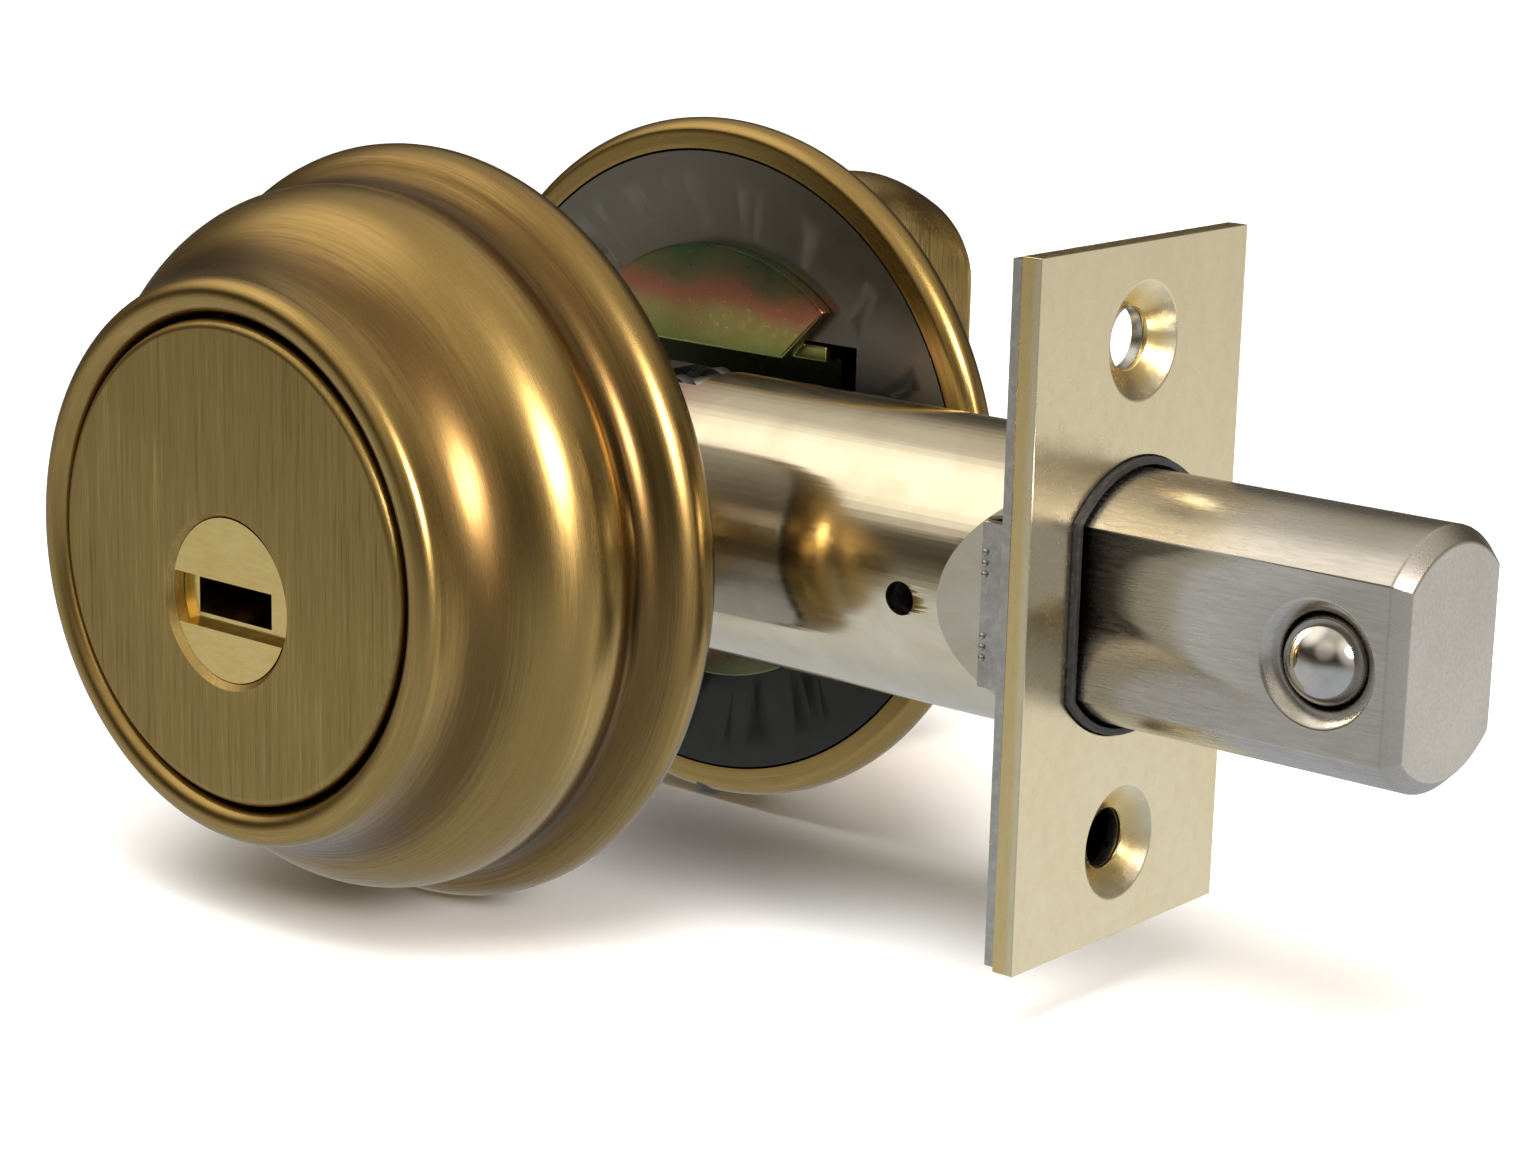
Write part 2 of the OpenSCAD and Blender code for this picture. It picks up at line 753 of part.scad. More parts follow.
module retaining_clip() {
    y = rose_top - rose_wall - 1.1;
    color(steel_hard) difference() {
        along_y(y - 0.9, y, 10, z = axis_z);
        along_y(0, far, collar_r, z = axis_z);
        block(-2.5, 2.5, 0, far, -far, axis_z);
    }
}

cylinder_housing();
housing_flange();
screw_posts();
driver_pins();
pin_springs();
chamber_plugs();
hardened_inserts();
cylinder_guard();
guard_backing_ring();
key_plug();
outer_key_pins();
inner_key_pins();
plug_retainer();
retainer_screws();
tailpiece();
latch_housing();
latch_rear_case();
bolt_guide();
backplate();
faceplate();
bolt_seal();
hub_crank();
detent_spring();
bolt();
bolt_tail();
drive_pin();
tail_pin();
hardened_rollers();
exterior_ball();
interior_ball();
ball_plunger();
rose_backplate();
mounting_plate();
rose();
mounting_screws();
rose_set_screw();
thumbturn_knob();
thumbturn_spindle();
wave_washer();
retaining_clip();
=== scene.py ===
from math import acos, asin, atan2, cos, hypot, pi, radians, sin, sqrt

import bmesh
import bpy
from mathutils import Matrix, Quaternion, Vector


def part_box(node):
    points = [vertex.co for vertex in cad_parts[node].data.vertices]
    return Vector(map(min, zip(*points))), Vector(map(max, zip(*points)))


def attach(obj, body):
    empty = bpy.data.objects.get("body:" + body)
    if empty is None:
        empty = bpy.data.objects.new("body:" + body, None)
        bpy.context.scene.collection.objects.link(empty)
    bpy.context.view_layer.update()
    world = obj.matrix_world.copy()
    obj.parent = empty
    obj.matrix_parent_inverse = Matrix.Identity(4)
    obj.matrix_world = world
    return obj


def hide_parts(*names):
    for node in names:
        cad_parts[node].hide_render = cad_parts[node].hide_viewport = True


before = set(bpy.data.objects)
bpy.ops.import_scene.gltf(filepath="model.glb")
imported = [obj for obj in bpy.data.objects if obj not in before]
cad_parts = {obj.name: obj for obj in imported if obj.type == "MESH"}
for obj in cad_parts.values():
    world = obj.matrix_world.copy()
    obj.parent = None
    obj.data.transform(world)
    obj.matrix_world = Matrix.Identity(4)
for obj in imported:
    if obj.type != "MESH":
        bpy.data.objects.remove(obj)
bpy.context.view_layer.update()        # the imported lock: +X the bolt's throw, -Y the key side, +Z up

# Lengths in this script are millimetres; meshes are scaled to metres as they are made.
MM = 0.001
ROUND = 256                     # steps of a large turned piece
ARC = 24                        # steps of an arc in an outline
CREASE = radians(32)            # edges sharper than this stay sharp


# ---------- sizes, from the frame ----------
def box_mm(node):
    low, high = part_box(node)
    return low / MM, high / MM


housing_low, housing_high = box_mm("cylinder_housing")
plug_low, plug_high = box_mm("key_plug")
rose_low, rose_high = box_mm("rose")
dish_high = box_mm("rose_backplate")[1]
knob_low, knob_high = box_mm("thumbturn_knob")
guard_low, guard_high = box_mm("cylinder_guard")
plate_high = box_mm("faceplate")[1]
bolt_low, bolt_high = box_mm("bolt")
ball_low, ball_high = box_mm("exterior_ball")
tube_low, tube_high = box_mm("latch_housing")
pins_low, pins_high = box_mm("outer_key_pins")
insert_low, insert_high = box_mm("hardened_inserts")
roller_low, roller_high = box_mm("hardened_rollers")
tail_low, tail_high = box_mm("bolt_tail")
rod_low, rod_high = box_mm("ball_plunger")

face_y = housing_low.y
face_r = housing_high.x
housing_back = housing_high.y
journal_r = 19.4                                   # the cylinder's radius behind its face
shoulder_y = face_y + 4.4
door_out = box_mm("housing_flange")[1].y           # the door's face on the key side
door_in = rose_low.y - 0.2                         # and on the thumbturn side
rose_top = rose_high.y
trim_z = (guard_low.z + guard_high.z) / 2          # the guard's and the rose's axis
axis_z = (plug_low.z + plug_high.z) / 2            # the plug's, the crank's and the thumbturn's
plug_r = plug_high.x
ball_x = (ball_low.x + ball_high.x) / 2
collar_r = 8                                       # the thumbturn's neck, where it passes the rose
slack = 0.05                                       # clearance round what fits in a hole


# ---------- meshes ----------
def to_piece(name, bm):
    """A new piece from a bmesh in millimetres."""
    for vert in bm.verts:
        vert.co *= MM
    bmesh.ops.recalc_face_normals(bm, faces=bm.faces)
    mesh = bpy.data.meshes.new(name)
    bm.to_mesh(mesh)
    bm.free()
    piece = bpy.data.objects.new(name, mesh)
    bpy.context.scene.collection.objects.link(piece)
    return piece


def arc(centre, radius, start, end, steps=ARC):
    """Points of an arc in an outline, its angles in degrees."""
    turns = [radians(start + (end - start) * i / steps) for i in range(steps + 1)]
    return [(centre[0] + radius * cos(a), centre[1] + radius * sin(a)) for a in turns]


def place(axis, u, v, along):
    """A point given by its place along an axis and across it."""
    return {"X": (along, u, v), "Y": (u, along, v), "Z": (u, v, along)}[axis]


def turned(name, outline, axis="Y", centre=(0, 0), steps=ROUND):
    """A closed outline of (radius, place along the axis) points, turned about the axis."""
    bm = bmesh.new()
    rings = []
    for radius, along in outline:
        if radius < 1e-6:
            rings.append([bm.verts.new(place(axis, *centre, along))] * steps)
            continue
        turns = [2 * pi * i / steps for i in range(steps)]
        circle = [(centre[0] + radius * cos(a), centre[1] + radius * sin(a)) for a in turns]
        rings.append([bm.verts.new(place(axis, u, v, along)) for u, v in circle])
    for ring, following in zip(rings, rings[1:] + rings[:1]):
        for i in range(steps):
            j = (i + 1) % steps
            corners = list(dict.fromkeys([ring[i], ring[j], following[j], following[i]]))
            if len(corners) > 2:
                bm.faces.new(corners)
    return to_piece(name, bm)


def rod(axis, low, high, radius, centre=(0, 0), end_radius=None, steps=96):
    """A plain rod or cone, used to cut or to be joined on."""
    end_radius = radius if end_radius is None else end_radius
    return turned("rod", [(0, low), (radius, low), (end_radius, high), (0, high)], axis, centre, steps)


def lofted(name, rings):
    """A skin over rings of the same number of points, closed at both ends."""
    bm = bmesh.new()
    rows = [[bm.verts.new(point) for point in ring] for ring in rings]
    count = len(rows[0])
    for row, following in zip(rows, rows[1:]):
        for i in range(count):
            j = (i + 1) % count
            bm.faces.new([row[i], row[j], following[j], following[i]])
    bm.faces.new(rows[0][::-1])
    bm.faces.new(rows[-1])
    return to_piece(name, bm)


def block(low, high):
    """A box between two corners, used to cut."""
    outline = [(low[0], low[1]), (high[0], low[1]), (high[0], high[1]), (low[0], high[1])]
    return lofted("block", [[(x, y, z) for x, y in outline] for z in (low[2], high[2])])


def ball(centre, radius):
    """A small round dimple or bump."""
    bm = bmesh.new()
    bmesh.ops.create_uvsphere(bm, u_segments=20, v_segments=12, radius=radius)
    bmesh.ops.translate(bm, verts=bm.verts, vec=centre)
    return to_piece("ball", bm)


def within(outline, low, high, reach):
    """An outline kept inside a radius and two ends."""
    return [(min(radius, reach), min(max(along, low), high)) for radius, along in outline]


def settle(piece):
    """Applies a piece's modifiers."""
    bpy.context.view_layer.update()
    evaluated = piece.evaluated_get(bpy.context.evaluated_depsgraph_get())
    mesh = bpy.data.meshes.new_from_object(evaluated)
    piece.modifiers.clear()
    piece.data = mesh
    return piece


def combine(piece, others, operation):
    """Cuts a piece with others, or joins them to it, and removes them."""
    for other in others:
        modifier = piece.modifiers.new(operation, "BOOLEAN")
        modifier.operation = operation
        modifier.solver = "EXACT"
        modifier.object = other
    settle(piece)
    for other in others:
        bpy.data.objects.remove(other)
    return piece


def carve(piece, *cutters):
    return combine(piece, cutters, "DIFFERENCE")


def fuse(piece, *others):
    return combine(piece, others, "UNION")


def gather(piece, others):
    """Adds other pieces' skins to a piece, without cutting them into one another."""
    bm = bmesh.new()
    for part in (piece, *others):
        bm.from_mesh(part.data)
    bm.to_mesh(piece.data)
    bm.free()
    for other in others:
        bpy.data.objects.remove(other)


def copy_of(node, name):
    """A CAD node's shape as a new piece, with its flat faces whole."""
    bm = bmesh.new()
    bm.from_mesh(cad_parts[node].data)
    bmesh.ops.remove_doubles(bm, verts=bm.verts, dist=0.002 * MM)
    bmesh.ops.dissolve_limit(bm, angle_limit=radians(0.5), verts=bm.verts, edges=bm.edges)
    for vert in bm.verts:
        vert.co /= MM
    return to_piece(name, bm)


def round_edges(piece, width):
    """Rounds every edge sharper than a crease."""
    modifier = piece.modifiers.new("round", "BEVEL")
    modifier.width = width * MM
    modifier.segments = 2
    modifier.limit_method = "ANGLE"
    modifier.angle_limit = CREASE
    modifier.use_clamp_overlap = True
    modifier.miter_outer = "MITER_ARC"
    return settle(piece)


def show(piece, body, material, node):
    """Finishes a piece's shading, and puts it in the frame in place of its CAD node."""
    mesh = piece.data
    mesh.materials.clear()
    mesh.materials.append(material)
    for polygon in mesh.polygons:
        polygon.use_smooth = True
    mesh.set_sharp_from_angle(angle=CREASE)
    weights = piece.modifiers.new("normals", "WEIGHTED_NORMAL")
    weights.keep_sharp = True
    weights.weight = 100
    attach(piece, body)
    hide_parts(node)


# ---------- materials ----------
def fill_ramp(ramp, stops):
    """Gives a colour ramp its stops, each a place and a colour."""
    while len(ramp.elements) < len(stops):
        ramp.elements.new(0.5)
    for element, (position, colour) in zip(ramp.elements, stops):
        element.position = position
        element.color = (*colour, 1)


class Paint:
    """A Principled material, with short calls for the nodes that drive it, in millimetres."""

    def __init__(self, name, metallic=1.0, **constants):
        self.material = bpy.data.materials.new(name)
        self.material.use_nodes = True
        self.tree = self.material.node_tree
        self.shader = self.tree.nodes["Principled BSDF"]
        self.shader.inputs["Metallic"].default_value = metallic
        for socket, value in constants.items():
            self.shader.inputs[socket.replace("_", " ")].default_value = value
        coordinates = self.tree.nodes.new("ShaderNodeTexCoord")
        self.normal = coordinates.outputs["Normal"]
        self.point = self.vector("SCALE", coordinates.outputs["Object"], scale=1 / MM)
        split = self.node("ShaderNodeSeparateXYZ", [self.point])
        self.x, self.y, self.z = split.outputs

    def node(self, kind, values=(), **settings):
        """A node with its first inputs filled in, each by a socket or a number."""
        node = self.tree.nodes.new(kind)
        for key, value in settings.items():
            setattr(node, key, value)
        for socket, value in zip(node.inputs, values):
            self.put(socket, value)
        return node

    def put(self, socket, value):
        if isinstance(value, bpy.types.NodeSocket):
            self.tree.links.new(value, socket)
        elif value is not None:
            socket.default_value = value

    def math(self, operation, *values):
        return self.node("ShaderNodeMath", values, operation=operation).outputs[0]

    def plus(self, a, b, share_a=1.0, share_b=1.0):
        """A sum of two values, each times its share."""
        parts = [value if share == 1.0 else self.math("MULTIPLY", value, share)
                 for value, share in ((a, share_a), (b, share_b))]
        return self.math("ADD", *parts)

    def vector(self, operation, *values, scale=None):
        node = self.node("ShaderNodeVectorMath", values, operation=operation)
        if scale is not None:
            node.inputs["Scale"].default_value = scale
        return node.outputs["Value" if operation == "LENGTH" else "Vector"]

    def join(self, x, y, z):
        return self.node("ShaderNodeCombineXYZ", [x, y, z]).outputs[0]

    def noise(self, stretch, detail=3.0, roughness=0.55, distortion=0.0, at=None):
        """Noise whose grain is 1/stretch millimetres along each axis."""
        node = self.tree.nodes.new("ShaderNodeTexNoise")
        stretch = stretch if isinstance(stretch, tuple) else (stretch,) * 3
        self.put(node.inputs["Vector"], self.vector("MULTIPLY", at or self.point, stretch))
        node.inputs["Scale"].default_value = 1.0
        node.inputs["Detail"].default_value = detail
        node.inputs["Roughness"].default_value = roughness
        node.inputs["Distortion"].default_value = distortion
        return node.outputs["Fac"]

    def spread(self, value, low, high, to_low=0.0, to_high=1.0):
        """Takes low..high to to_low..to_high, and holds it there."""
        node = self.node("ShaderNodeMapRange", [value, low, high, to_low, to_high], clamp=True)
        return node.outputs[0]

    def ramp(self, value, stops):
        """A colour along a list of (place, colour)."""
        node = self.node("ShaderNodeValToRGB", [value])
        node.color_ramp.interpolation = "EASE"
        fill_ramp(node.color_ramp, stops)
        return node.outputs[0]

    def mix(self, a, b, factor):
        """A colour between a and b."""
        node = self.node("ShaderNodeMix", data_type="RGBA")
        for index, value in ((0, factor), (6, a), (7, b)):
            value = (*value, 1) if isinstance(value, tuple) else value
            self.put(node.inputs[index], value)
        return node.outputs[2]

    def around(self, wrap, centre_z=0.0):
        """Coordinates of turning marks about Y: slow round the axis, true along the profile."""
        across = self.join(self.x, 0.0, self.math("SUBTRACT", self.z, centre_z))
        radius = self.vector("LENGTH", across)
        unit = self.vector("NORMALIZE", across)
        ring = self.vector("SCALE", unit, scale=wrap)
        along = self.join(0.0, self.math("ADD", self.y, radius), 0.0)
        return self.vector("ADD", ring, along)

    def colour(self, value):
        self.put(self.shader.inputs["Base Color"], (*value, 1) if isinstance(value, tuple) else value)
        return self

    def roughness(self, value):
        self.put(self.shader.inputs["Roughness"], value)
        return self

    def bump(self, height, depth):
        """Height from 0 to 1 over a depth in millimetres."""
        node = self.tree.nodes.new("ShaderNodeBump")
        node.inputs["Strength"].default_value = 1.0
        node.inputs["Distance"].default_value = depth * MM
        self.put(node.inputs["Height"], height)
        self.put(self.shader.inputs["Normal"], node.outputs[0])
        return self

    def tangent(self, axis):
        """Brushing that runs round an axis."""
        node = self.node("ShaderNodeTangent", direction_type="RADIAL", axis=axis)
        self.put(self.shader.inputs["Tangent"], node.outputs[0])
        return self


# antique brass, from where it is rubbed bright to the patina in its grooves
BRASS_LIGHT = (0.68, 0.49, 0.19)
BRASS_MID = (0.41, 0.275, 0.092)
BRASS_BROWN = (0.18, 0.108, 0.036)
BRASS_DARK = (0.06, 0.034, 0.013)


def antique_brass(name, patina_stops, low_y, high_y):
    """Brass brushed round Y and lacquered, its patina given along Y as (place, grey)."""
    paint = Paint(name, Anisotropic=0.6, Coat_Weight=0.12, Coat_Roughness=0.1)
    fine = paint.noise((1.6, 14.0, 1.6), at=paint.around(5.0, trim_z), detail=3)
    broad = paint.noise((1, 2.2, 1), at=paint.around(2.2, trim_z), detail=3)
    streak = paint.plus(fine, broad, 0.55, 0.45)
    patina = paint.ramp(paint.spread(paint.y, low_y, high_y), patina_stops)
    worn = paint.plus(streak, patina, 0.7)
    tone = paint.ramp(paint.spread(worn, 0.2, 1.3),
                      [(0.0, BRASS_LIGHT), (0.35, BRASS_MID), (0.75, BRASS_BROWN), (1.0, BRASS_DARK)])
    paint.colour(tone)
    paint.roughness(paint.spread(streak, 0.3, 0.7, 0.2, 0.33))
    paint.bump(streak, 0.006)
    return paint.tangent("Y").material


def grey(value):
    return (value, value, value)


def brushed_face():
    """The cylinder's face: brass brushed straight up and down."""
    paint = Paint("antique_brass_face", Anisotropic=0.5, Coat_Weight=0.1, Coat_Roughness=0.1)
    fine = paint.noise((11.0, 11.0, 0.22), detail=3)
    broad = paint.noise((2.6, 2.6, 0.07), detail=3)
    smoky = paint.noise(0.06, detail=2)
    streak = paint.plus(fine, broad, 0.55, 0.45)
    tone = paint.ramp(paint.spread(paint.plus(streak, smoky, 1.0, 0.3), 0.36, 0.94),
                      [(0.0, (0.62, 0.46, 0.18)), (0.5, (0.40, 0.28, 0.095)), (1.0, (0.22, 0.145, 0.045))])
    paint.colour(tone)
    paint.roughness(paint.spread(streak, 0.3, 0.7, 0.3, 0.42))
    return paint.bump(streak, 0.006).material


def knob_brass():
    """The thumbturn's brass, brushed along its grip."""
    paint = Paint("antique_brass_knob", Anisotropic=0.4, Coat_Weight=0.25, Coat_Roughness=0.12)
    streak = paint.noise((7.0, 7.0, 0.25), detail=3)
    cloudy = paint.noise(0.1, detail=2)
    tone = paint.ramp(paint.spread(paint.plus(streak, cloudy), 0.7, 1.3),
                      [(0.0, BRASS_LIGHT), (0.5, BRASS_MID), (1.0, BRASS_BROWN)])
    paint.colour(tone)
    paint.roughness(paint.spread(streak, 0.3, 0.7, 0.2, 0.32))
    return paint.bump(streak, 0.005).material


def metal(name, light, dark, roughness, grain, depth):
    """A plain metal: two tones clouded together, with a grain that shows in its gloss and its bump."""
    paint = Paint(name)
    clouds = paint.noise(0.15, detail=3)
    marks = paint.noise(grain, detail=4)
    paint.colour(paint.mix(light, dark, paint.spread(paint.plus(clouds, marks), 0.7, 1.3)))
    paint.roughness(paint.spread(marks, 0.3, 0.7, *roughness))
    return paint.bump(marks, depth).material


def iridescent_zinc():
    """Yellow zinc plating: green at the rim, pink in a band below it, then yellow, with painted shade near
    black deep in its channel.
    """
    paint = Paint("yellow_zinc")
    drift = paint.noise(0.075, detail=2)
    marks = paint.noise(1.6, detail=3)
    height = paint.spread(paint.math("ABSOLUTE", paint.math("SUBTRACT", paint.z, trim_z)), 9.0, 21.0)
    hue = paint.math("ADD", height, paint.math("MULTIPLY", paint.math("SUBTRACT", drift, 0.5), 0.7))
    hues = paint.ramp(hue, [(0.0, (0.40, 0.42, 0.12)), (0.28, (0.34, 0.40, 0.13)),
                            (0.46, (0.40, 0.34, 0.13)), (0.62, (0.46, 0.19, 0.12)),
                            (0.8, (0.20, 0.20, 0.10)), (1.0, (0.10, 0.16, 0.09))])
    # painted shade: surfaces more than about 2.2 to 3.4 mm in from the door fade to near black, in the
    # channel
    painted_recess_shade = paint.spread(paint.y, door_in + 2.2, door_in + 3.4)
    paint.colour(paint.mix(hues, (0.03, 0.035, 0.015), painted_recess_shade))
    paint.roughness(paint.spread(marks, 0.3, 0.7, 0.26, 0.38))
    return paint.bump(marks, 0.003).material


def nickel_plate():
    """The latch tube: bright plating, faintly stained, drawn lengthwise and tinted pink at its end."""
    paint = Paint("bright_plate")
    drawn = paint.noise((0.05, 2.4, 2.4), detail=4)
    stain = paint.noise(0.16, detail=4, distortion=0.6)
    end_tint = paint.spread(paint.x, tube_low.x, tube_low.x + 8, 1.0, 0.0)
    base = paint.mix((0.86, 0.79, 0.63), (0.76, 0.68, 0.51), paint.spread(stain, 0.4, 0.7))
    paint.colour(paint.mix(base, (0.60, 0.33, 0.30), end_tint))
    paint.roughness(paint.spread(paint.plus(drawn, stain), 0.7, 1.3, 0.09, 0.19))
    return paint.bump(drawn, 0.004).material


def milled_bolt():
    """The bolt: satin nickel, with the faint arcs of a milling cutter across its flats."""
    paint = Paint("bolt_steel")
    cutter_x, cutter_z, pitch = plate_high.x - 4, -16.0, 0.8       # the arcs' centre and spacing
    fine = paint.noise((0.35, 3.0, 3.0), detail=4)
    cloud = paint.noise(0.1, detail=3)
    sweep = paint.vector("LENGTH", paint.join(paint.math("SUBTRACT", paint.x, cutter_x), 0.0,
                                              paint.math("SUBTRACT", paint.z, cutter_z)))
    rings = paint.math("SINE", paint.math("MULTIPLY", sweep, 2 * pi / pitch))
    facing_y = paint.node("ShaderNodeSeparateXYZ", [paint.normal]).outputs[1]
    on_flat = paint.spread(paint.math("ABSOLUTE", facing_y), 0.9, 0.97)
    fade = paint.spread(paint.noise(0.22, detail=2), 0.42, 0.62)
    milled = paint.math("MULTIPLY", paint.math("MULTIPLY", rings, on_flat), fade)
    height = paint.plus(fine, milled, 1.0, 0.3)
    paint.colour(paint.mix((0.66, 0.635, 0.60), (0.55, 0.52, 0.475),
                           paint.spread(paint.plus(cloud, fine), 0.75, 1.3)))
    paint.roughness(paint.spread(fine, 0.3, 0.7, 0.24, 0.3))
    return paint.bump(height, 0.0016).material


def pale_brass():
    """The faceplate: pale bright plating, more golden in the countersinks."""
    paint = Paint("plate_brass")
    grain = paint.noise((2.2, 0.8, 0.8), detail=4, roughness=0.6)
    ripple = paint.noise((0.3, 0.16, 0.08), detail=2)
    tone = paint.spread(paint.plus(grain, ripple), 0.5, 1.7)
    base = paint.mix((0.88, 0.79, 0.57), (0.80, 0.695, 0.46), tone)
    sunk = paint.spread(paint.x, plate_high.x - 0.3, plate_high.x - 0.9)
    paint.colour(paint.mix(base, (0.80, 0.60, 0.24), paint.math("MULTIPLY", sunk, 0.75)))
    paint.roughness(paint.spread(grain, 0.3, 0.7, 0.2, 0.3))
    return paint.bump(paint.plus(grain, ripple, 1.0, 6.0), 0.0025).material


def dished_steel():
    """The rose's dark dish, with painted light: paler and a little browner towards its top, darker towards
    its bottom.
    """
    paint = Paint("gunmetal")
    marks = paint.noise(0.5, detail=3)
    # painted light: a ramp by height, dark at the bottom and pale at the top, with the marks mixed in
    height = paint.spread(paint.plus(paint.z, marks, 1.0, 6.0), -20.0, 26.0)
    dish_tones_with_painted_light = [(0.0, (0.06, 0.062, 0.058)), (0.5, (0.13, 0.135, 0.14)), (1.0, (0.24, 0.225, 0.19))]
    paint.colour(paint.ramp(height, dish_tones_with_painted_light))
    paint.roughness(paint.spread(marks, 0.3, 0.7, 0.32, 0.4))
    return paint.bump(marks, 0.001).material


def moulded(name, colour, roughness, depth):
    """A black plastic with fine pores."""
    paint = Paint(name, metallic=0.0)
    pores = paint.noise(3.0, detail=4)
    paint.colour(paint.mix(colour, grey(0.035), paint.spread(pores, 0.45, 0.75)))
    paint.roughness(paint.spread(pores, 0.3, 0.7, roughness, roughness + 0.15))
    return paint.bump(pores, depth).material


# ---------- the guard ----------
def blend_centre(c1, r1, c2, r2, r):
    """Centre of the circle of radius r that touches two circles from outside, on their right."""
    d = hypot(c2[0] - c1[0], c2[1] - c1[1])
    a, b = r1 + r, r2 + r
    aim = atan2(c2[1] - c1[1], c2[0] - c1[0]) - acos((a * a + d * d - b * b) / (2 * a * d))
    return c1[0] + a * cos(aim), c1[1] + a * sin(aim)


def direction(a, b):
    """The angle in degrees of b seen from a."""
    return atan2(b[1] - a[1], b[0] - a[0]) * 180 / pi


def make_guard():
    """The bell that spins round the cylinder: lip, cove, swell, hollow and foot, from front to back."""
    back, ring_y = door_out - 0.3, door_out - 3
    cove, cove_r = (33, face_y + 0.85), 9.3
    bead_r, turn = 1.55, 177
    apart = bead_r + cove_r
    bead = (cove[0] + apart * cos(radians(turn)), cove[1] + apart * sin(radians(turn)))
    swell, swell_r = (22.6, door_out - 10.85), 7.45
    foot, foot_r = (29.8, door_out - 2.75), 3
    hollow_r = 3
    hollow = blend_centre(swell, swell_r, foot, foot_r, hollow_r)
    inside = [(29.9, back), (29.9, ring_y), (27.6, ring_y), (27.6, door_out - 8),
              (24.6, door_out - 14), (23, door_out - 18.5), (face_r + 0.4, door_out - 20.5)]
    outline = (arc(bead, bead_r, -175, turn - 180)
               + arc(cove, cove_r, turn, direction(cove, swell))
               + arc(swell, swell_r, direction(swell, cove), direction(swell, hollow), 2 * ARC)
               + arc(hollow, hollow_r, direction(hollow, swell), direction(hollow, foot) - 360)
               + arc(foot, foot_r, direction(foot, hollow), asin((back - foot[1]) / foot_r) * 180 / pi)
               + inside)
    depth = back - guard_low.y

    def along(y):
        return (y - guard_low.y) / depth

    # dark in the cove and the hollow, rubbed bright on the lip and the swell
    stops = [(0.0, grey(0.18)), (along(face_y + 2.4), grey(0.42)), (along(face_y + 5.5), grey(0.66)),
             (along(face_y + 9), grey(0.30)), (along(swell[1]), grey(0.12)),
             (along(hollow[1] - 1.4), grey(0.34)), (along(hollow[1] + 0.4), grey(0.78)),
             (along(foot[1] - 0.6), grey(0.34)), (1.0, grey(0.5))]
    guard = turned("guard_bell", within(outline, guard_low.y, back, guard_high.x), centre=(0, trim_z))
    brass = antique_brass("antique_brass_guard", stops, guard_low.y, back)
    show(guard, "guard", brass, "cylinder_guard")


# ---------- the key side ----------
def make_housing():
    """The cylinder: a face with a round rim, bored for the plug, the pin stacks and two inserts."""
    rim, flare_w, pin_count = 0.8, 0.6, 5
    outline = ([(0, housing_back), (0, face_y), (face_r - rim, face_y)]
               + arc((face_r - rim, face_y + rim), rim, -90, 0, 10)
               + [(face_r, shoulder_y), (journal_r, shoulder_y), (journal_r, housing_back)])
    body = turned("cylinder_face", outline, centre=(0, trim_z))
    bore = rod("Y", face_y - 1, housing_back + 1, plug_r + slack, (0, axis_z), steps=128)
    flare = rod("Y", face_y - 0.01, face_y + flare_w, plug_r + flare_w, (0, axis_z),
                end_radius=plug_r + slack, steps=128)
    pin_r = (pins_high.x - pins_low.x) / 2
    first, last = pins_low.y + pin_r, pins_high.y - pin_r
    stacks = [first + (last - first) * i / (pin_count - 1) for i in range(pin_count)]
    chambers = [rod("Z", axis_z, trim_z + face_r, pin_r + slack, (0, y), steps=48) for y in stacks]
    insert_r = (insert_high.y - insert_low.y) / 2
    holes = [rod("Z", insert_low.z - 0.1, trim_z + face_r, insert_r + slack,
                 (side * (insert_high.x - insert_r), insert_low.y + insert_r), steps=48) for side in (-1, 1)]
    carve(body, bore, flare, *chambers, *holes)
    show(body, "root", brushed_face(), "cylinder_housing")


def make_plug():
    plug = round_edges(copy_of("key_plug", "plug_core"), 0.14)
    show(plug, "plug", gold, "key_plug")


# ---------- the latch ----------
def make_tube():
    """The latch's tube, its far end turned to a round shoulder."""
    tube = round_edges(copy_of("latch_housing", "latch_tube"), 0.22)
    radius, shoulder = tube_high.z, 1.1
    start = tube_low.x
    outside = turned("outside", [(0, start), (radius - shoulder, start)]
                     + arc((radius - shoulder, start + shoulder), shoulder, -90, 0, 8)
                     + [(radius, tube_high.x), (0, tube_high.x)], "X", steps=192)
    combine(tube, [outside], "INTERSECT")
    show(tube, "root", nickel_plate(), "latch_housing")


def bolt_section(inset):
    """The bolt's outline in Y and Z, round above and below, flat at the sides, its edges a little soft."""
    soft, steps = 0.35, 20
    radius, half = bolt_high.z - inset, bolt_high.y - inset
    corner = (half - soft, sqrt((radius - soft) ** 2 - (half - soft) ** 2))
    start = atan2(corner[1], corner[0]) * 180 / pi
    quarter = arc((0, 0), radius, 90, start, steps)
    quarter += arc(corner, soft, start, 0, 6)
    half_outline = quarter + [(y, -z) for y, z in quarter[::-1]]
    return half_outline + [(-y, -z) for y, z in half_outline[1:-1]]


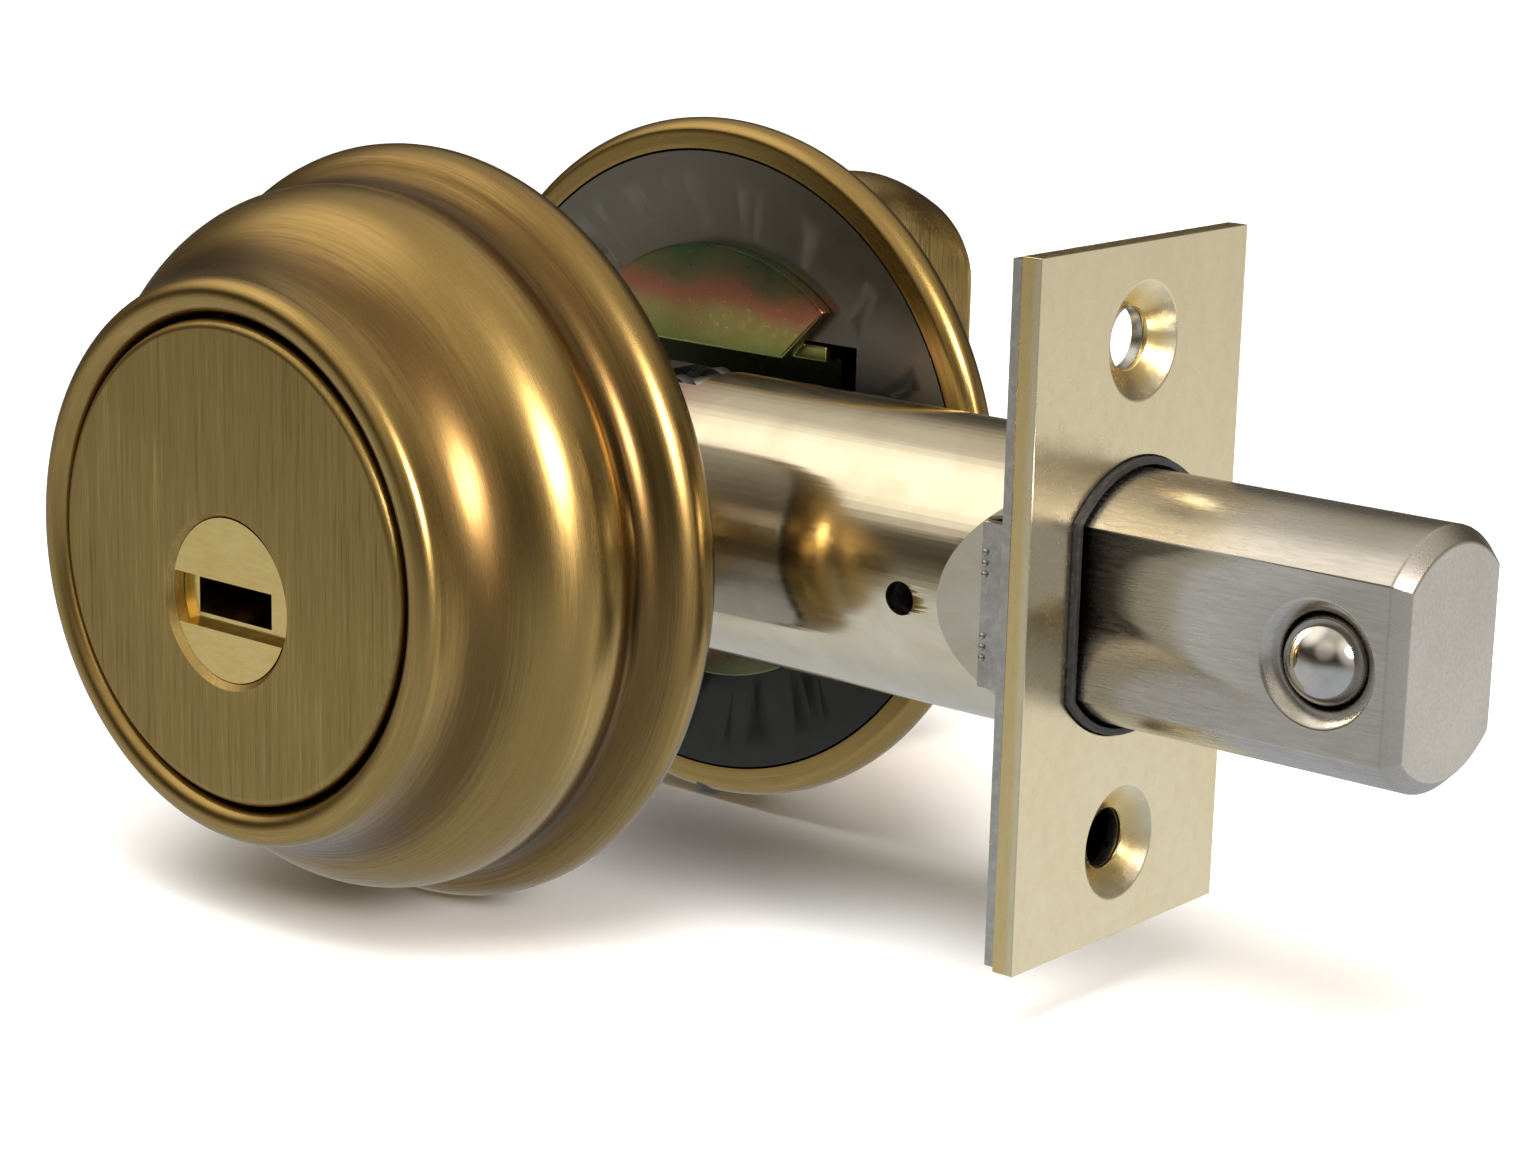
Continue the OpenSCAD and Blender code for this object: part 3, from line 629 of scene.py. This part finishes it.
def make_bolt():
    """The bolt: a bar with a softened chamfer at its end, bored for the balls and what lies inside it."""
    # the chamfer, as (distance from the end, inset)
    chamfer = [(1.4, 0.0), (1.25, 0.03), (1.12, 0.1), (0.13, 1.08), (0.04, 1.22), (0.0, 1.4)]
    stations = [(bolt_low.x, 0.0)] + [(bolt_high.x - back, inset) for back, inset in chamfer]
    bolt = lofted("bolt_bar", [[(x, y, z) for y, z in bolt_section(inset)] for x, inset in stations])
    flat, bore = bolt_high.y, (ball_high.z - ball_low.z) / 2 + 0.1
    well, mouth_r, beyond = 2.56, bore + 1.3, 4
    # a ball's well, as (radius, height above its floor): bore, soft throat, cone and soft mouth
    flare = [(0, -1), (bore, -1), (bore, 1.15), (bore + 0.05, 1.38), (bore + 0.16, 1.55),
             (bore + 1.0, 2.4), (bore + 1.14, 2.5), (mouth_r, well), (mouth_r, beyond), (0, beyond)]
    wells = [turned("well", [(radius, side * (flat - well + height)) for radius, height in flare],
                    "Y", (ball_x, 0), 160) for side in (-1, 1)]
    across = rod("Y", 1 - flat, flat - 1, bore, (ball_x, 0), steps=160)
    run_back, nose = 8, 3                           # room behind the plunger, and its cone
    plunger = rod("X", rod_low.x - run_back, rod_high.x - nose, rod_high.z + slack, steps=48)
    roller_r = (roller_high.y - roller_low.y) / 2
    roller_z = roller_high.z - roller_r
    room = 0.3                                      # beyond each end of a roller
    rollers = [rod("X", roller_low.x - room, roller_high.x + room, roller_r + slack,
                   (0, side * roller_z), steps=48) for side in (-1, 1)]
    slot_top, pin_r, pin_in = 8, 1.25, 4
    slot = block((bolt_low.x - 1, tail_low.y - slack, tail_low.z - slack),
                 (tail_high.x + 0.2, tail_high.y + slack, slot_top + slack))
    pin_at = (bolt_low.x + pin_in, (tail_low.z + slot_top) / 2)
    pin = rod("Y", -flat - 1, flat + 1, pin_r, pin_at, steps=48)
    carve(bolt, across, plunger, *wells, *rollers, slot, pin)
    show(bolt, "bolt", milled_bolt(), "bolt")


def make_plates():
    """The faceplate, and the thin plate behind it with its rows of staking dots beside the tube."""
    plate = round_edges(copy_of("faceplate", "faceplate_sheet"), 0.25)
    show(plate, "root", pale_brass(), "faceplate")
    steel = round_edges(copy_of("backplate", "latch_backplate"), 0.15)
    ear_half, dot_r, row_z, pitch = 7, 0.3, 3.4, 0.9
    ear_x = box_mm("backplate")[0].x + 0.35
    ear_y = sqrt(tube_high.z ** 2 - ear_half ** 2) + 1
    heights = [row + step for row in (-row_z, row_z) for step in (-pitch, 0, pitch)]
    gather(steel, [ball((ear_x, side * ear_y, z), dot_r) for side in (-1, 1) for z in heights])
    show(steel, "root", zinc, "backplate")


# ---------- the thumbturn side ----------
def make_rose():
    """The rose: a bead at the door and a dome, hollow behind, bored for the neck and the set screw."""
    rose_r, bead_r, mouth_r, dome_r, wall = rose_high.x, 1.9, dish_high.x + 0.2, 14, 1.5
    dome_from, mouth_depth = 28, 2.8
    screw_r, screw_y = 1.1, door_in + 1.5
    bead, dome = (rose_r - bead_r, door_in + bead_r), (rose_r / 2 - 0.2, rose_top - dome_r)
    bead_from = -acos((mouth_r - bead[0]) / bead_r) * 180 / pi
    outline = (arc(bead, bead_r, bead_from, 80)
               + arc(dome, dome_r, dome_from, 90)
               + [(0, rose_top), (0, rose_top - wall)]
               + arc(dome, dome_r - wall, 90, dome_from)
               + [(mouth_r, door_in + mouth_depth)])
    rose = turned("rose_cup", within(outline, rose_low.y, rose_top, rose_r), centre=(0, trim_z))
    carve(rose, rod("Y", door_in, rose_top + 1, collar_r + slack, (0, axis_z)),
          rod("Z", rose_low.z - 1, rose_low.z + 6, screw_r, (0, screw_y)))
    stops = [(0.0, grey(0.2)), (0.25, grey(0.45)), (0.6, grey(0.25)), (1.0, grey(0.3))]
    show(rose, "root", antique_brass("antique_brass_rose", stops, door_in, rose_top), "rose")


def make_mounting_plate():
    """The zinc plated disc, its channel's ends trimmed to the cut corners."""
    plate = copy_of("mounting_plate", "rose_mounting_plate")
    channel_end, cut_to, cut_half = 12.6, 17, 13.5
    near, far = door_in + 2.01, box_mm("mounting_plate")[1].y + 1
    carve(plate, *[block((left, near, trim_z - cut_half), (right, far, trim_z + cut_half))
                   for left, right in ((-cut_to, -channel_end), (channel_end, cut_to))])
    show(round_edges(plate, 0.25), "root", yellow_zinc, "mounting_plate")


def make_knob():
    """A waisted grip with round ends, on a round foot, with its collar behind."""
    foot_y, foot_h, foot_r, foot_round, foot_edge = rose_top + 0.4, 4, 11.5, 1.2, 0.3
    half_thick, half_long = knob_high.x - 3.6, (knob_high.z - knob_low.z) / 2
    waist_half, scoop_r = 4.6, 12.5                 # half the waist, and the radius of its scoops
    back_r, end_r, tip = 5.5, 20, 1.4               # the ends' curves behind and in front, and the front edge
    low, high = foot_y + 2, knob_high.y
    widest = low + back_r
    scoop_y = (foot_y + high) / 2 + 1.5
    levels, around = 64, 128
    rings = []
    for i in range(levels + 1):
        y = low + (high - low) * sin(pi / 2 * i / levels)
        thick = min(half_thick, waist_half + scoop_r - sqrt(scoop_r ** 2 - (y - scoop_y) ** 2))
        bend = end_r if y > widest else back_r
        long = half_long - bend + sqrt(bend ** 2 - (y - widest) ** 2)
        edge = max(0.0, y - (high - tip))
        shrink = tip - sqrt(max(0.0, tip ** 2 - edge ** 2))
        thick, long = thick - shrink, long - shrink
        ring = []
        for j in range(around):
            a = 2 * pi * (j + 0.5) / around
            z = thick * sin(a) + (long - thick) * (1 if sin(a) > 0 else -1)
            ring.append((thick * cos(a), y, axis_z + z))
        rings.append(ring)
    grip = lofted("knob_grip", rings)
    foot = turned("foot", [(0, foot_y), (foot_r - foot_edge, foot_y), (foot_r, foot_y + foot_edge)]
                  + arc((foot_r - foot_round, foot_y + foot_h - foot_round), foot_round, 0, 90, 8)
                  + [(0, foot_y + foot_h)], centre=(0, axis_z))
    collar = rod("Y", knob_low.y, foot_y + 0.5, collar_r, (0, axis_z))
    fuse(grip, foot, collar)
    show(grip, "thumbturn", knob_brass(), "thumbturn_knob")


# ---------- the rest of the frame, with rounded edges ----------
# name, light tone, dark tone, roughness range, grain, depth of the grain
gold = metal("bright_brass", (0.93, 0.74, 0.33), (0.85, 0.62, 0.22), (0.1, 0.18), (0.8, 0.3, 3.0), 0.003)
pin_brass = metal("pin_brass", (0.80, 0.60, 0.27), (0.62, 0.42, 0.16), (0.18, 0.34), (0.8, 0.8, 4.0), 0.006)
zinc = metal("satin_steel", (0.62, 0.61, 0.59), (0.48, 0.475, 0.46), (0.24, 0.36), (1.6, 1.6, 1.6), 0.005)
bright = metal("bright_steel", (0.74, 0.75, 0.77), (0.60, 0.60, 0.61), (0.14, 0.28), (3.0, 0.6, 3.0), 0.006)
polished = metal("polished_steel", (0.70, 0.69, 0.68), (0.60, 0.58, 0.55), (0.06, 0.14), 1.2, 0.001)
dark_steel = metal("hardened_steel", (0.20, 0.205, 0.215), (0.10, 0.10, 0.105), (0.3, 0.44), 1.4, 0.006)
gunmetal = dished_steel()
yellow_zinc = iridescent_zinc()
nylon = moulded("black_plastic", grey(0.012), 0.38, 0.015)

FINISHED = [
    # node, piece, body, material, slot, edge width
    ("bolt_seal", "bolt_seal_ring", "root", nylon, "black_plastic", 0.12),
    ("bolt_guide", "bolt_guide_ring", "root", nylon, "black_plastic", 0.15),
    ("latch_rear_case", "latch_case", "root", zinc, "satin_steel", 0.25),
    ("housing_flange", "flange_ring", "root", zinc, "satin_steel", 0.2),
    ("screw_posts", "threaded_posts", "root", zinc, "satin_steel", 0.2),
    ("mounting_screws", "through_screws", "root", bright, "bright_steel", 0.15),
    ("rose_backplate", "rose_dish", "root", gunmetal, "gunmetal", 0.2),
    ("guard_backing_ring", "guard_ring", "guard", zinc, "satin_steel", 0.2),
    ("plug_retainer", "plug_retaining_plate", "plug", zinc, "satin_steel", 0.12),
    ("retainer_screws", "plug_screws", "plug", bright, "bright_steel", 0.12),
    ("tailpiece", "tail_bar", "plug", zinc, "satin_steel", 0.2),
    ("hub_crank", "crank_arm", "crank", dark_steel, "hardened_steel", 0.2),
    ("bolt_tail", "bolt_fork", "bolt", dark_steel, "hardened_steel", 0.15),
    ("drive_pin", "crank_pin", "bolt", bright, "bright_steel", 0.15),
    ("tail_pin", "fork_pin", "bolt", bright, "bright_steel", 0.15),
    ("thumbturn_spindle", "spindle_bar", "thumbturn", zinc, "satin_steel", 0.2),
    ("wave_washer", "spring_washer", "thumbturn", bright, "bright_steel", 0.08),
    ("retaining_clip", "spring_clip", "thumbturn", dark_steel, "hardened_steel", 0.12),
]
# nodes whose CAD shape stays, and their materials
KEPT = {
    "driver_pins": pin_brass, "outer_key_pins": pin_brass, "chamber_plugs": pin_brass,
    "inner_key_pins": bright, "pin_springs": bright, "detent_spring": bright,
    "hardened_inserts": dark_steel, "hardened_rollers": dark_steel, "ball_plunger": dark_steel,
    "rose_set_screw": dark_steel, "exterior_ball": polished, "interior_ball": polished,
}


def make_rest():
    for node, name, body, material, slot, width in FINISHED:
        show(round_edges(copy_of(node, name), width), body, material, node)
    for node, material in KEPT.items():
        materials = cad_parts[node].data.materials
        materials.clear()
        materials.append(material)


# ---------- the room ----------
LOOK_AT = Vector((14.7, 9.7, -7.9)) * MM
AZIMUTH, PITCH, ROLL = radians(39.64), radians(13.67), radians(1.454)
DISTANCE = 316.2 * MM
# the room by height, from straight down (0) to straight up (1)
ROOM = [
    (0.0, (0.50, 0.52, 0.55)), (0.34, (0.46, 0.48, 0.50)), (0.42, (0.34, 0.34, 0.33)),
    (0.49, (0.13, 0.12, 0.10)), (0.58, (0.05, 0.044, 0.034)), (0.70, (0.11, 0.095, 0.07)),
    (0.84, (0.56, 0.51, 0.42)), (1.0, (0.70, 0.66, 0.58)),
]
# soft patches of light: direction, inner and outer angle in degrees, colour
PATCHES = [
    ((0.87, -0.20, 0.46), 5, 15, (24.0, 22.5, 21.5)),
    ((0.87, -0.20, 0.46), 6, 40, (0.7, 0.62, 0.55)),
    ((0.62, 0.75, -0.26), 12, 48, (0.36, 0.34, 0.30)),
    ((-0.62, -0.55, -0.50), 10, 45, (0.10, 0.09, 0.06)),
    ((-0.60, -0.30, 0.74), 8, 34, (0.85, 0.80, 0.70)),
    ((0.10, -0.85, 0.50), 6, 30, (0.30, 0.28, 0.24)),
]


def outward(azimuth, elevation):
    """The direction from the lock towards an azimuth and an elevation."""
    return Vector((sin(azimuth) * cos(elevation), -cos(azimuth) * cos(elevation), sin(elevation)))


def make_camera():
    data = bpy.data.cameras.new("camera")
    data.lens, data.sensor_width = 81.46, 36
    data.clip_start, data.clip_end = 0.01, 20
    camera = bpy.data.objects.new("camera", data)
    back = outward(AZIMUTH, PITCH)
    camera.location = LOOK_AT + back * DISTANCE
    camera.rotation_mode = "QUATERNION"
    camera.rotation_quaternion = (-back).to_track_quat("-Z", "Y") @ Quaternion((0, 0, 1), ROLL)
    bpy.context.scene.collection.objects.link(camera)
    bpy.context.scene.camera = camera


def add_light(name, kind, azimuth, elevation, power, distance=0.0):
    """A light for the floor that no metal reflects, aimed at the lock from angles in degrees."""
    data = bpy.data.lights.new(name, kind)
    data.energy = power
    light = bpy.data.objects.new(name, data)
    back = outward(radians(azimuth), radians(elevation))
    light.location = LOOK_AT + back * distance
    light.rotation_mode = "QUATERNION"
    light.rotation_quaternion = (-back).to_track_quat("-Z", "Y")
    light.visible_glossy = False
    bpy.context.scene.collection.objects.link(light)
    return data


def make_lights():
    """A large softbox above, and even, very soft light from the same side."""
    key = add_light("key_light", "AREA", 20, 62, 5.0, distance=0.75)
    key.shape = "RECTANGLE"
    key.size, key.size_y = 0.5, 0.4
    day = add_light("day_light", "SUN", 10, 66, 1.9)
    day.angle = radians(50)


def make_floor():
    """A plain pale floor under the lock, which the metal doesn't reflect."""
    reach = 4.0
    level = min(guard_low.z, knob_low.z) * MM
    mesh = bpy.data.meshes.new("floor")
    corners = [(x * reach, y * reach, level) for x, y in ((-1, -1), (1, -1), (1, 1), (-1, 1))]
    mesh.from_pydata(corners, [], [(0, 1, 2, 3)])
    floor = bpy.data.objects.new("floor", mesh)
    bpy.context.scene.collection.objects.link(floor)
    paint = Paint("floor_paint", metallic=0.0)
    paint.colour((0.88, 0.88, 0.875)).roughness(0.8)
    mesh.materials.append(paint.material)
    floor.visible_glossy = False


def make_world():
    """The room the metal reflects: pale below and overhead, dim at eye height, with soft patches of light."""
    world = bpy.data.worlds.new("room")
    bpy.context.scene.world = world
    world.use_nodes = True
    tree = world.node_tree
    background = tree.nodes["Background"]
    coordinates = tree.nodes.new("ShaderNodeTexCoord")
    split = tree.nodes.new("ShaderNodeSeparateXYZ")
    tree.links.new(coordinates.outputs["Generated"], split.inputs[0])
    lift = tree.nodes.new("ShaderNodeMapRange")
    lift.inputs["From Min"].default_value = -1
    tree.links.new(split.outputs[2], lift.inputs["Value"])
    ramp = tree.nodes.new("ShaderNodeValToRGB")
    fill_ramp(ramp.color_ramp, ROOM)
    tree.links.new(lift.outputs[0], ramp.inputs[0])
    light = ramp.outputs[0]
    for aim, inner, outer, colour in PATCHES:
        dot = tree.nodes.new("ShaderNodeVectorMath")
        dot.operation = "DOT_PRODUCT"
        tree.links.new(coordinates.outputs["Generated"], dot.inputs[0])
        dot.inputs[1].default_value = Vector(aim).normalized()
        edge = tree.nodes.new("ShaderNodeMapRange")
        edge.interpolation_type = "SMOOTHSTEP"
        edge.inputs["From Min"].default_value = cos(radians(outer))
        edge.inputs["From Max"].default_value = cos(radians(inner))
        tree.links.new(dot.outputs["Value"], edge.inputs["Value"])
        tint = tree.nodes.new("ShaderNodeVectorMath")
        tint.operation = "SCALE"
        tint.inputs[0].default_value = colour
        tree.links.new(edge.outputs[0], tint.inputs["Scale"])
        total = tree.nodes.new("ShaderNodeVectorMath")
        tree.links.new(light, total.inputs[0])
        tree.links.new(tint.outputs[0], total.inputs[1])
        light = total.outputs[0]
    tree.links.new(light, background.inputs["Color"])


make_guard()
make_housing()
make_plug()
make_tube()
make_bolt()
make_plates()
make_rose()
make_mounting_plate()
make_knob()
make_rest()

make_camera()
make_floor()
make_world()
make_lights()
bpy.context.scene.view_settings.view_transform = "Standard"
